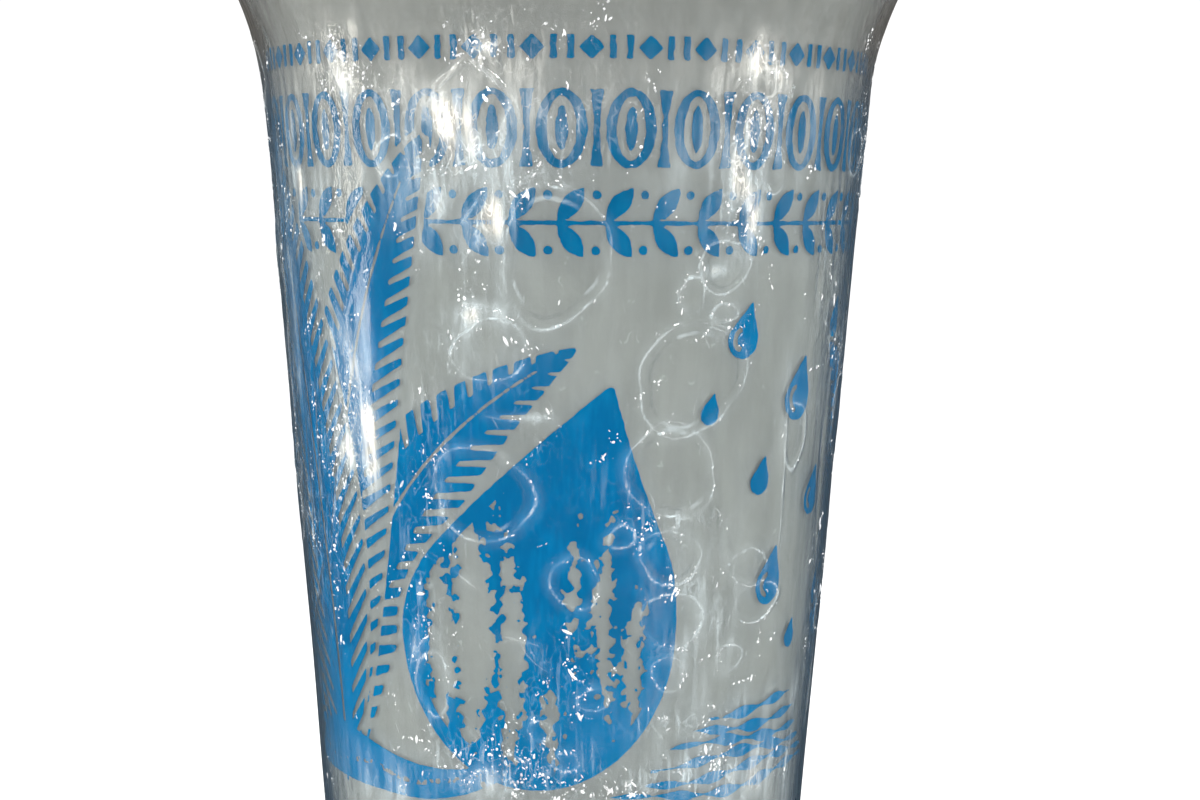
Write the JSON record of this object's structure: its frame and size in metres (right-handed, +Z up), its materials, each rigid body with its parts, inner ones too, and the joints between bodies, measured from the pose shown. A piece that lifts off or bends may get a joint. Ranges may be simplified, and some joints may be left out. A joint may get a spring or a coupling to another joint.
{
  "type": "sealed cup of frozen coconut juice",
  "caption": "Tapered clear cup of frozen coconut juice with a press-on lid, sealed in a clear shrink film with a blue printed pattern; stands on its base.",
  "frame": {"origin": "middle of the underside that the pack stands on", "axes": "+Z up along the cup's axis, from the base to the lid; -Y towards the printed front"},
  "size_m": [0.0824, 0.0824, 0.1142],
  "materials": {
    "cup_plastic": "satin",
    "frozen_juice": "satin",
    "lid_plastic": "satin",
    "shrink_film": "polished",
    "print_ink": "gloss"
  },
  "bodies": {
    "root": {"cup": "cup_plastic", "frozen_juice": "frozen_juice", "lid": "lid_plastic", "shrink_film": "shrink_film"}
  },
  "joints": []
}
